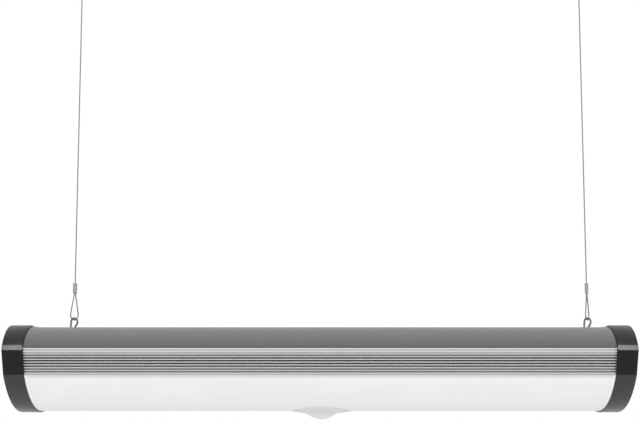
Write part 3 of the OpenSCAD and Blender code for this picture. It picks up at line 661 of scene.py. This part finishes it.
# Painted shade: the rail's colour darkens with the depth into its grooves.
patch(side_metal, "painted_shade_depth", 0.3, 2.0, (0.32, 0.32, 0.325))
for side, mirror in (("rear", 1), ("front", -1)):
    section = [(mirror * y, z) for y, z in rail_section()]
    rail = drawn("side_rail_wall", eased(section, 0.3, 3, True), -body_x, body_x)
    crests = [rib_low + rib_pitch * (i + 0.5) for i in range(len(groove) - 1)]
    places = [(0, mirror * side_y(rail_inset, z), z) for z in crests]
    ribs = placed("side_rail_crests", rib_bar(mirror), places, side_metal)
    rail = joined(f"side_rail_{side}_ribs", rail, ribs)
    # Each point's depth under the ribbed face, which drives the painted groove shade.
    mark = rail.data.attributes.new("painted_shade_depth", "FLOAT", "POINT")
    for point in rail.data.vertices:
        face_y = side_y(rail_inset, point.co.z * 1000 + drop)
        mark.data[point.index].value = face_y - abs(point.co.y) * 1000
    dress(round_off(rail, 32), side_metal, "side_rail", "light", f"side_rail_{side}")


# ---- Gear tray
# A tray of 1.2 mm galvanised sheet lies on the ledges of the side rails. It carries the driver and
# the terminal block above and the two LED boards below; its holes are punched.
def keep(name, material):
    """Gives a CAD piece, whose shape is right, a better finish."""
    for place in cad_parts[name].material_slots:
        place.material = material


tray_high = 53.2
keep("gear_tray", metal("galvanised_sheet", (0.42, 0.43, 0.44), (0.66, 0.67, 0.68), 0.4, 0.012,
                        bump=0.05))


# ---- LED boards
# Two strips of aluminium-core board with a white mask, screwed under the tray, with 34 LEDs each in
# white housings filled with yellow phosphor.
board_t, board_y = 1.2, 34
board_mask = finish("white_board_mask", (0.70, 0.70, 0.69), (0.76, 0.76, 0.75), 0.006, 0.35, 0.05,
                    0.05, (0.2, 1, 1), {"Specular IOR Level": 0.4})
keep("led_board_rear", board_mask)
keep("led_board_front", board_mask)
led_housing = finish("led_housing", (0.74, 0.74, 0.72), (0.80, 0.80, 0.78), 0.001, 0.35, 0.05,
                     0.05, (1, 1, 1), {})
patch(led_housing, "phosphor", 0.2, 0.8, (0.78, 0.56, 0.10))
led_count, led_pitch, led_size, well_r = 34, 15.5, (3.5, 2.8, 0.8), 1.1


def led():
    """A housing with blunt corners and a shallow round well of phosphor, facing down."""
    around = [(1, 0), (1, 0.6), (0.75, 1), (0, 1), (-0.75, 1), (-1, 0.6), (-1, 0), (-1, -0.6),
              (-0.75, -1), (0, -1), (0.75, -1), (1, -0.6)]
    sides = [(led_size[0] / 2 * u, led_size[1] / 2 * v) for u, v in around]
    well = circle(well_r, len(around))
    levels = ((sides, 0), (sides, -led_size[2]), (well, -led_size[2]), (well, -led_size[2] + 0.2))
    thing = skin("led", [[(u, v, drop + z) for u, v in ring] for ring, z in levels])
    mark = thing.data.attributes.new("phosphor", "FLOAT", "POINT")
    for k in range(len(around)):
        mark.data[-1 - k].value = 1
    return thing


for side, y in (("rear", board_y), ("front", -board_y)):
    middle = (led_count - 1) / 2
    places = [((i - middle) * led_pitch, y, tray_low - board_t) for i in range(led_count)]
    leds = placed(f"led_row_{side}", led(), places, led_housing)
    dress(leds, led_housing, "leds", "light", f"leds_{side}")


# ---- Screws
# Pan-head screws of zinc-plated steel with a cross recess hold the LED boards and the driver, and a
# brass one the earth wire. Each stands turned as it was driven home.
def screw(head_r, head_h, shank_r, length, way):
    """A pan-head screw with its seat at the origin; way turns a point of it as it is driven."""
    sides = 40
    rings = []
    for r, high in ((0.06, 1), (0.22, 1), (0.42, 1), (0.56, 1), (0.7, 0.97), (0.88, 0.8),
                    (0.98, 0.5), (1, 0.2), (1, 0)):
        rings.append([])
        for u, v in circle(r * head_r, sides):
            recessed = r < 0.5 and min(abs(u), abs(v)) < 0.16 * head_r
            rings[-1].append((u, v, head_h * high - (0.45 * head_h if recessed else 0)))
    turns = int(length / 0.25)
    for i in range(turns + 1):
        r = (shank_r - (0.22 if i % 3 == 0 else 0.0)) * min(1, (turns - i) / 5 + 0.2)
        rings.append([(u, v, -length * i / turns) for u, v in circle(r, sides)])
    rings = [[way(p) for p in ring] for ring in rings]
    return skin("screw", [[(x, y, drop + z) for x, y, z in ring] for ring in rings])


def upright(p):
    """Its head stands up."""
    return p


def overhead(p):
    """Its head hangs down."""
    return (p[0], -p[1], -p[2])


screw_steel = metal("zinc_plated_screw", (0.46, 0.46, 0.44), (0.62, 0.62, 0.58), 0.3, 0.0015)
earth_brass = metal("brass_screw", (0.50, 0.40, 0.20), (0.62, 0.50, 0.27), 0.3, 0.0015)
board_places = [(x, y, tray_low - board_t) for x in (-186, 0, 186) for y in (-board_y, board_y)]
tab_places = [(x, 14, tray_high + 1.2) for x in (-155, 55)]
for name, shank_r, length, way, places, material, seed in (
        ("board_screw", 1.5, 3.3, overhead, board_places, screw_steel, 4),
        ("driver_screw", 1.5, 3.4, upright, tab_places, screw_steel, 9),
        ("earth_screw", 1.9, 4.2, upright, [(-240, 49, tray_high)], earth_brass, 2)):
    driven = screw(2.6, 1.6, shank_r, length, way)
    things = placed(f"{name}_set", driven, places, material, (0, 0, 1), seed)
    node = name if len(places) == 1 else f"{name}s"
    dress(round_off(things, 40), material, "screws", "light", node)


# ---- Driver
# The power supply: a folded case of zinc-coated sheet screwed to the tray by its two tabs, a
# slotted lid, and a board with its transformer, capacitors and coil inside.
keep("driver_case", metal("zinc_coated_case", (0.48, 0.49, 0.50), (0.64, 0.65, 0.66), 0.38, 0.02,
                          (0.3, 1, 1), 0.05))
keep("driver_lid", metal("zinc_coated_lid", (0.52, 0.53, 0.54), (0.68, 0.69, 0.70), 0.36, 0.02,
                         (0.3, 1, 1), 0.05))
driver_green = finish("green_board", (0.020, 0.105, 0.045), (0.035, 0.150, 0.065), 0.003, 0.4,
                      0.06, 0.1, (1, 1, 1), {})
parts_above = (59.1, 59.3)
patch(driver_green, "Z", *parts_above, (0.035, 0.034, 0.032))
keep("driver_board", driver_green)


# ---- Terminal block and leads
# A three-way block of pale nylon on the tray by the gland, and PVC-covered wires: three from it to
# the driver, and one from the driver down to each LED board.
keep("terminal_block", finish("pale_nylon", (0.60, 0.60, 0.57), (0.66, 0.66, 0.63), 0.003, 0.5,
                              0.06, 0.1, (1, 1, 1), {}))
lead_r, lead_z = 1.1, 62.2
led_lead_x = 50


def lead(name, points, colour, node):
    """A covered wire through the given points."""
    light = tuple(min(1.0, c * 1.35 + 0.01) for c in colour)
    cover = finish(f"pvc_{name}", colour, light, 0.002, 0.4, 0.06, 0.08, (1, 1, 1),
                   {"Specular IOR Level": 0.4})
    wire = bend_wire(name, smooth_route(points, 0.8), lead_r, (0.3, 0.4, 0.87), 14)
    dress(wire, cover, "leads", "light", node)


for name, y, colour in (("live", -8, (0.10, 0.035, 0.015)), ("earth", 0, (0.16, 0.30, 0.03)),
                        ("neutral", 8, (0.015, 0.06, 0.24))):
    run = ((-240, 0), (-228, 0), (-205, 0.3), (-180, -0.2), (-160, 0), (-143.8, 0))
    lead(f"mains_lead_{name}", [(x, y + v, lead_z) for x, v in run], colour, "mains_leads")
led_run = [(-4, 6, 9), (6, 6, 9), (14, 8, 8.6), (21, 13, 7.4), (26, 19, 5.8), (30, 25, 4.2),
           (33, 30, 2.8), (34, 33, 1.4), (34, 34, -0.6)]
for side, mirror, colour in (("rear", 1, (0.30, 0.012, 0.01)), ("front", -1, (0.01, 0.01, 0.011))):
    points = [(led_lead_x + u, mirror * v, tray_high + w) for u, v, w in led_run]
    lead(f"led_lead_{side}", points, colour, "led_leads")


# ---- Lens
# One extruded cover of opal plastic, curved down between the rails. Its edges turn in and up, and a
# bead along each snaps into the rail. A groove runs under each edge.
lens_out, lens_wall, lens_top = 1.4, 1.6, 39.52
# The second pair of distances marks where the lens is painted whiter, a painted light along each
# cap's inner edge.
shaded_above, painted_light_beyond = (36.9, 37.2), (282.6, 283.2)
sensor_x, sensor_hole_r = 1.5, 20.2
half = [(side_y(lens_out, lens_top), lens_top)]
line = outline(lens_out, 22, 60)
edge = between(line, 39.3, 0)
half += [p for p in edge if p[1] > 37.9] + [(between(line, 37.9, 0)[0][0], 37.75)]
half += [(between(line, 37.4, 0)[0][0] - 0.45, 37.4), (between(line, 37.0, 0)[0][0], 37.05)]
half += [p for p in edge if p[1] < 36.9]
inner = outline(lens_out + lens_wall, 22, 60)
back = [p for p in between(inner, 37.8, 0)][::-1]
tab = [(side_y(inwards, z), z) for inwards, z in (
    (7.3, 37.8), (7.3, 43.2), (4.7, 43.2), (4.7, 41.4), (5.7, 41.4), (5.7, lens_top))]
outer_loop = half + [(-y, z) for y, z in half[::-1][1:]]
inner_loop = [(-y, z) for y, z in tab[::-1]] + [(-y, z) for y, z in back[::-1]] + back[1:] + tab
lens = drawn("opal_lens", outer_loop + inner_loop, -body_x, body_x)


def cut_out(thing, *cutters):
    """Cuts closed shells out of a piece."""
    for cutter in cutters:
        step = thing.modifiers.new("cut", "BOOLEAN")
        step.operation, step.solver, step.object = "DIFFERENCE", "EXACT", cutter
    applied(thing)
    for cutter in cutters:
        bpy.data.objects.remove(cutter)
    return thing


cut_out(lens, turned("lens_hole", [(sensor_hole_r, -3), (sensor_hole_r, 9)], sensor_x, 0, 96))
opal = finish("opal_plastic", (0.82, 0.82, 0.815), (0.84, 0.84, 0.835), 0.03, 0.4, 0.04, 0.02,
              (0.3, 1, 1), {"Specular IOR Level": 0.4})
patch(opal, "Z", *shaded_above, (0.70, 0.70, 0.695))
# Painted light: the lens turns whiter beyond this distance from the middle, along each cap's inner
# edge.
patch(opal, "X", *painted_light_beyond, (0.96, 0.96, 0.955))
dress(round_off(lens, 25), opal, "lens", "light", "lens")


# ---- End caps
# Injection-moulded in black plastic. Each slides over the end of the cover, rails and lens, and two
# screws through its plate hold it. The left one has a round hole for the cord gland.
cap_l, cap_plate = 20, 3
cap_edge = 0.7
hole_r, seat_r, seat_x = 1.9, 3.5, 303.2
gland_z, gland_hole_r = 65, 8.1
# Painted reflection: below these heights the cap's black is painted lighter grey, where its lower
# face mirrors the floor.
painted_reflection_below = (40.2, 39.2)


def ring_of(inset):
    """A cap's whole outline, moved inwards; its top is a little lower between the shoulders."""
    half = outline(inset)
    half[:2] = [(0, 86.8 - inset), (36, 86.8 - inset), (42, fixture_h - 0.5 - inset)]
    return half + [(-y, z) for y, z in half[::-1][1:-1]]


def pocket_ring():
    """What a cap slides over: the body above the foot, the lens below it."""
    half = [(y, z) for y, z in outline(1.8) if z > foot_z] + [(side_y(1.8, foot_z), foot_z)]
    half += [(side_y(1.2, foot_z), foot_z - 0.02)] + between(outline(1.2), foot_z - 0.2, 0)
    return half + [(-y, z) for y, z in half[::-1] if abs(y) > 0.001]


def cap_shell(name, sign):
    """A cap with rounded edges, hollow towards the body."""
    end, start = fixture_l / 2, fixture_l / 2 - cap_l
    turns = [math.pi / 2 * k / 4 for k in range(5)]
    bend = [(cap_edge * (1 - math.cos(a)), cap_edge * (1 - math.sin(a))) for a in turns]
    stations = [(start + x, inset) for x, inset in bend]
    stations += [(end - x, inset) for x, inset in bend[::-1]]
    body = skin(name, [[(sign * x, y, z) for y, z in ring_of(inset)] for x, inset in stations])
    hollow = [[(sign * x, y, z) for y, z in pocket_ring()] for x in (start - 1, end - cap_plate)]
    return body, skin("pocket", hollow)


def bore(name, x0, x1, y, z, reach, sides):
    """A round cutter along the light."""
    return skin(name, [[(x, y + u, z + v) for u, v in circle(reach, sides)] for x in (x0, x1)])


cap_plastic = finish("black_plastic", (0.005, 0.005, 0.005), (0.008, 0.008, 0.008), 0.0012, 0.25,
                     0.03, 0.03, (1, 1, 1), {"Specular IOR Level": 0.25})
# Painted reflection: the cap's colour turns lighter grey below this height.
patch(cap_plastic, "Z", *painted_reflection_below, (0.042, 0.042, 0.042))
caps = {}
for side, sign in (("left", -1), ("right", 1)):
    shell, pocket = cap_shell(f"end_cap_{side}_shell", sign)
    cutters, inside, outside = [pocket], sign * 300, sign * 306
    for y in (-port[0], port[0]):
        cutters.append(bore("screw_hole", inside, outside, y, port[1], hole_r, 32))
        cutters.append(bore("screw_seat", sign * seat_x, outside, y, port[1], seat_r, 40))
    if side == "left":
        cutters.append(bore("gland_hole", inside, outside, 0, gland_z, gland_hole_r, 64))
    cut_out(shell, *cutters)
    caps[side] = dress(round_off(shell, 30), cap_plastic, "end_cap", "light", f"end_cap_{side}")


# ---- Gaskets and cap screws
# A sheet of black rubber foam seals each cap against the ends of the sheet and rails. Two screws go
# through it into the slit ports of the side rails.
foam = finish("rubber_foam", (0.012, 0.012, 0.012), (0.022, 0.022, 0.022), 0.0008, 0.85, 0.05, 0.4,
              (1, 1, 1), {"Specular IOR Level": 0.2})
for side, sign in (("left", -1), ("right", 1)):
    keep(f"end_gasket_{side}", foam)
    driven = screw(3.2, 1.8, 1.6, 18, lambda p, sign=sign: (sign * p[2], p[0], p[1]))
    places = [(sign * seat_x, y, port[1]) for y in (-port[0], port[0])]
    things = placed(f"cap_screw_set_{side}", driven, places, screw_steel, (1, 0, 0), 3)
    dress(round_off(things, 40), screw_steel, "screws", "light", f"cap_screws_{side}")


# ---- Cord gland
# A black nylon gland through the hole of the left cap, moulded with a hexagon flange and a thread.
# A fluted dome nut closes it outside, and a hexagon nut holds it inside.
gland_bore, thread_r, gland_hex = 4.0, 8.0, 10.9


def around_x(name, profile):
    """A closed ring turned about the gland's line; radius may be a function of the angle."""
    rings = []
    for x, reach in profile:
        rings.append([])
        for k in range(72):
            a = math.tau * k / 72
            r = reach(a) if callable(reach) else reach
            rings[-1].append((x, r * math.cos(a), gland_z + r * math.sin(a)))
    return skin(name, rings, endless=True)


def six_sided(a, less=0.0):
    """Reach of the hexagon flange and nut, with their edges taken off by less."""
    flat = gland_hex * math.cos(math.pi / 6)
    return flat / math.cos((a - math.pi / 3) % (math.pi / 3) - math.pi / 6) - less


def fluted(a):
    """Reach of the dome nut's grip."""
    return 9.25 + 0.15 * math.cos(24 * a)


profile = [(-296, gland_bore), (-296, 7.3)]
profile += [(-296.3 - 0.25 * i, thread_r - (0.45 if i % 4 in (2, 3) else 0)) for i in range(22)]
profile += [(-305, 7.9), (-305, lambda a: six_sided(a, 0.3)), (-305.3, six_sided)]
profile += [(-308.2, six_sided), (-308.5, lambda a: six_sided(a, 0.5)), (-308.5, 8.9)]
profile += [(-309, fluted), (-313, fluted), (-314.6, 8.5), (-315.6, 7.2), (-316, 5.8), (-316, 4.6)]
profile += [(-315.4, gland_bore)]
nylon = finish("black_nylon", (0.010, 0.010, 0.011), (0.016, 0.016, 0.017), 0.002, 0.4, 0.05,
               0.08, (1, 1, 1), {})
dress(round_off(around_x("gland_body", profile), 30), nylon, "gland", "light", "inlet_gland")
profile = [(-298, 8.2), (-298, lambda a: six_sided(a, 0.6)), (-298.4, six_sided)]
profile += [(-301.6, six_sided), (-302, lambda a: six_sided(a, 0.6)), (-302, 8.2)]
profile += [(-301.6 + 0.4 * i, 8.05 + (0.3 if i % 2 else 0)) for i in range(9)]
dress(round_off(around_x("gland_ring_nut", profile), 30), nylon, "gland", "light", "gland_nut")


# ---- Motion sensor
# A flange bent to the lens and a threaded barrel, moulded in one of white plastic and held from
# inside by a ring nut. A thin milky dome sits in it behind a narrow groove, below the detector.
flange_r, flange_low, flange_edge = 30.5, -1.1, 0.5
dome_r, dome_h = 15.5, 6
barrel_top, board_seat = 28, 10.6


def lens_surface(y, out=0.0):
    """Height of the lens, or of a surface that far outside it, at a distance across."""
    return lens_middle - math.sqrt((lens_middle - lens_out + out) ** 2 - y * y)


flange_rise = lens_surface(flange_r) - flange_edge - flange_low
flange_bow = (flange_r ** 2 + flange_rise ** 2) / (2 * flange_rise)


def flange_surface(u, v):
    """Height of the flange's lower face."""
    thick = flange_edge + 2 * min(1.0, max(0.0, (flange_r - abs(u)) / (flange_r - 17)))
    bow = flange_low + flange_bow - math.sqrt(flange_bow ** 2 - v * v)
    return max(lens_surface(v, thick), bow)


def polar(reach, height):
    """A ring about the sensor's middle; height is a number or a function of the place."""
    return [(sensor_x + u, v, height(u, v) if callable(height) else height)
            for u, v in circle(reach, 96)]


rings = [polar(17.2, 0.4), polar(17.2, -0.7)]
rings += [polar(17.2 + 0.3 * t, lambda u, v, t=t: flange_surface(u, v) + 0.3 * (1 - t) ** 2)
          for t in (1 / 3, 2 / 3, 1)]
rings += [polar(r, flange_surface) for r in (18.5, 20.5, 23, 25.5, 28, 29.6)]
rings += [polar(r, lambda u, v, up=up: flange_surface(u, v) + up)
          for r, up in ((30.1, 0.05), (30.4, 0.15), (30.5, 0.3))]
rings += [polar(r, lambda u, v: lens_surface(v, 0.06)) for r in (30.45, 27, 24, 20.1)]
for i in range(28):
    rings.append(polar(19.2 if i % 4 in (2, 3) else 20.0, 7.2 + 20.2 * i / 27))
rings += [polar(r, z) for r, z in (
    (19.4, barrel_top), (15.6, barrel_top), (15.5, 26), (15.5, 10.7), (17, board_seat), (17, 1.7),
    (15.75, 1.6), (15.75, 0.45), (15.9, 0.4))]
housing = skin("sensor_flange", rings, endless=True)
sensor_plastic = finish("white_plastic", (0.66, 0.66, 0.65), (0.70, 0.70, 0.69), 0.004, 0.42, 0.05,
                        0.04, (1, 1, 1), {"Specular IOR Level": 0.4})
dress(round_off(housing, 30), sensor_plastic, "sensor", "light", "sensor_housing")

sphere_r = (dome_r ** 2 + dome_h ** 2) / (2 * dome_h)
dome_base, dome_wall = flange_low, 1.1
profile = []
for k in range(1, 19):
    a = math.asin(dome_r / sphere_r) * k / 18
    profile.append((sphere_r * math.sin(a), dome_base - dome_h + sphere_r * (1 - math.cos(a))))
outer = [(0.02, dome_base - dome_h)] + profile
outer += [(dome_r, 1.6), (16.8, 1.6), (16.8, 2.6), (14.4, 2.6)]
inner = [(r - dome_wall * r / dome_r, z + dome_wall) for r, z in profile if z < dome_base - 1.2]
outer += [(14.4, dome_base + 0.1)] + inner[::-1] + [(0.02, dome_base - dome_h + dome_wall)]
dome = turned("sensor_dome_shell", outer, sensor_x, 0, 96)
milky = finish("milky_plastic", (0.70, 0.70, 0.69), (0.76, 0.76, 0.75), 0.003, 0.3, 0.05, 0.25,
               (1, 1, 1), {"Specular IOR Level": 0.5})
dress(round_off(dome, 30), milky, "sensor_dome", "light", "sensor_dome")

nut_low, nut_high, nut_r, nut_hole_r = 7.0, 12.0, 25, 20.3
nut_rings = []
for reach, z in ((nut_hole_r, nut_low), (nut_r - 0.8, nut_low), (nut_r, nut_low + 0.6),
                 (nut_r, nut_high - 0.6), (nut_r - 0.8, nut_high), (nut_hole_r, nut_high)):
    nut_rings.append([])
    for k in range(144):
        a = math.tau * k / 144
        r = reach - (0.9 if k % 6 in (0, 1) and reach > 23 else 0)
        nut_rings[-1].append((sensor_x + r * math.cos(a), r * math.sin(a), z))
ring_nut = skin("sensor_ring_nut", nut_rings, endless=True)
dress(round_off(ring_nut, 30), sensor_plastic, "sensor", "light", "sensor_nut")
sensor_green = finish("sensor_board_mask", (0.018, 0.10, 0.045), (0.03, 0.14, 0.06), 0.002, 0.4,
                      0.06, 0.1, (1, 1, 1), {})
patch(sensor_green, "Z", board_seat + 0.1, board_seat + 0.2, (0.05, 0.05, 0.05))
keep("sensor_board", sensor_green)
can = turned("detector_can_shell", [
    (3.9, 9), (4.1, 8.8), (4.1, 8.5), (3.7, 8.3), (3.6, 8.2), (3.6, 5.3), (3.45, 4.95), (3.2, 4.8),
    (2.6, 4.8), (2.5, 4.9), (0.05, 4.9)], sensor_x, 0, 40)
can_metal = metal("nickel_can", (0.50, 0.49, 0.46), (0.64, 0.62, 0.58), 0.25, 0.002)
dress(round_off(can, 30), can_metal, "detector_can", "light", "pyro_detector")
points = [(sensor_x + u, 0, z) for u, z in (
    (8, board_seat), (8, 20), (8, 30), (9, 35.5), (12, 39.5), (17, 42.4), (24, 44))]
points += [(x, 0, z) for x, z in (
    (46, 44.6), (56, 45.2), (63, 47.2), (67, 51), (68, 55), (66.6, 59), (63, 61.6), (58, lead_z),
    (46, lead_z))]
lead("sensor_lead_wire", points, (0.42, 0.42, 0.41), "sensor_lead")


# ---- Floor and light
# A plain pale floor a room's height below, an even white surrounding, a broad lamp above, a soft
# one in front, and a long narrow one that shows only as the bright line along the caps' ridges.
floor_r, floor_z = 25000, drop - 2500
floor = solid("floor", [(x, y, floor_z) for x, y in circle(floor_r, 96)], [tuple(range(96))])
floor.data.materials.append(finish("pale_floor", (0.605, 0.605, 0.605), (0.615, 0.615, 0.615), 0.5,
                                   0.8, 0.05, 0.0, (1, 1, 1), {"Specular IOR Level": 0.1}))

world = bpy.data.worlds.new("surrounding")
world.use_nodes = True
nodes, links = world.node_tree.nodes, world.node_tree.links
way = nodes.new("ShaderNodeTexCoord")
parts = nodes.new("ShaderNodeSeparateXYZ")
rise = nodes.new("ShaderNodeMapRange")
for socket, value in {"From Min": 0.55, "From Max": 1.0, "To Min": 1.0, "To Max": 1.8}.items():
    rise.inputs[socket].default_value = value
links.new(way.outputs["Generated"], parts.inputs["Vector"])
links.new(parts.outputs["Z"], rise.inputs["Value"])
links.new(rise.outputs["Result"], nodes["Background"].inputs["Strength"])
nodes["Background"].inputs["Color"].default_value = (1, 1, 1, 1)
bpy.context.scene.world = world
bpy.context.scene.view_settings.view_transform = "Standard"


def lamp(name, place, aim, size, power):
    """A rectangular soft lamp at a place, turned to an aim."""
    data = bpy.data.lights.new(name, "AREA")
    data.shape = "RECTANGLE"
    data.size, data.size_y = size
    data.energy = power
    thing = bpy.data.objects.new(name, data)
    way = np.array(aim, float) - np.array(place, float)
    thing.location = place
    tilt = math.atan2(math.hypot(way[0], way[1]), -way[2])
    thing.rotation_euler = (tilt, 0, math.atan2(-way[0], way[1]))
    bpy.context.scene.collection.objects.link(thing)
    return thing


lamp("top_lamp", (0, 0.2, 1.15), (0, 0, -0.45), (2.4, 1.6), 14).visible_glossy = False
lamp("front_lamp", (0, -2.2, -0.9), (0, 0, -0.45), (2.4, 1.2), 11).visible_glossy = False
ridge_lamp = lamp("ridge_lamp", (0, -1.25, 0.45), (0, -0.08, -0.43), (2.4, 0.16), 36)
ridge_lamp.visible_diffuse = False
lit = bpy.data.collections.new("lit_by_ridge_lamp")
for shell in caps.values():
    lit.objects.link(shell)
ridge_lamp.light_linking.receiver_collection = lit
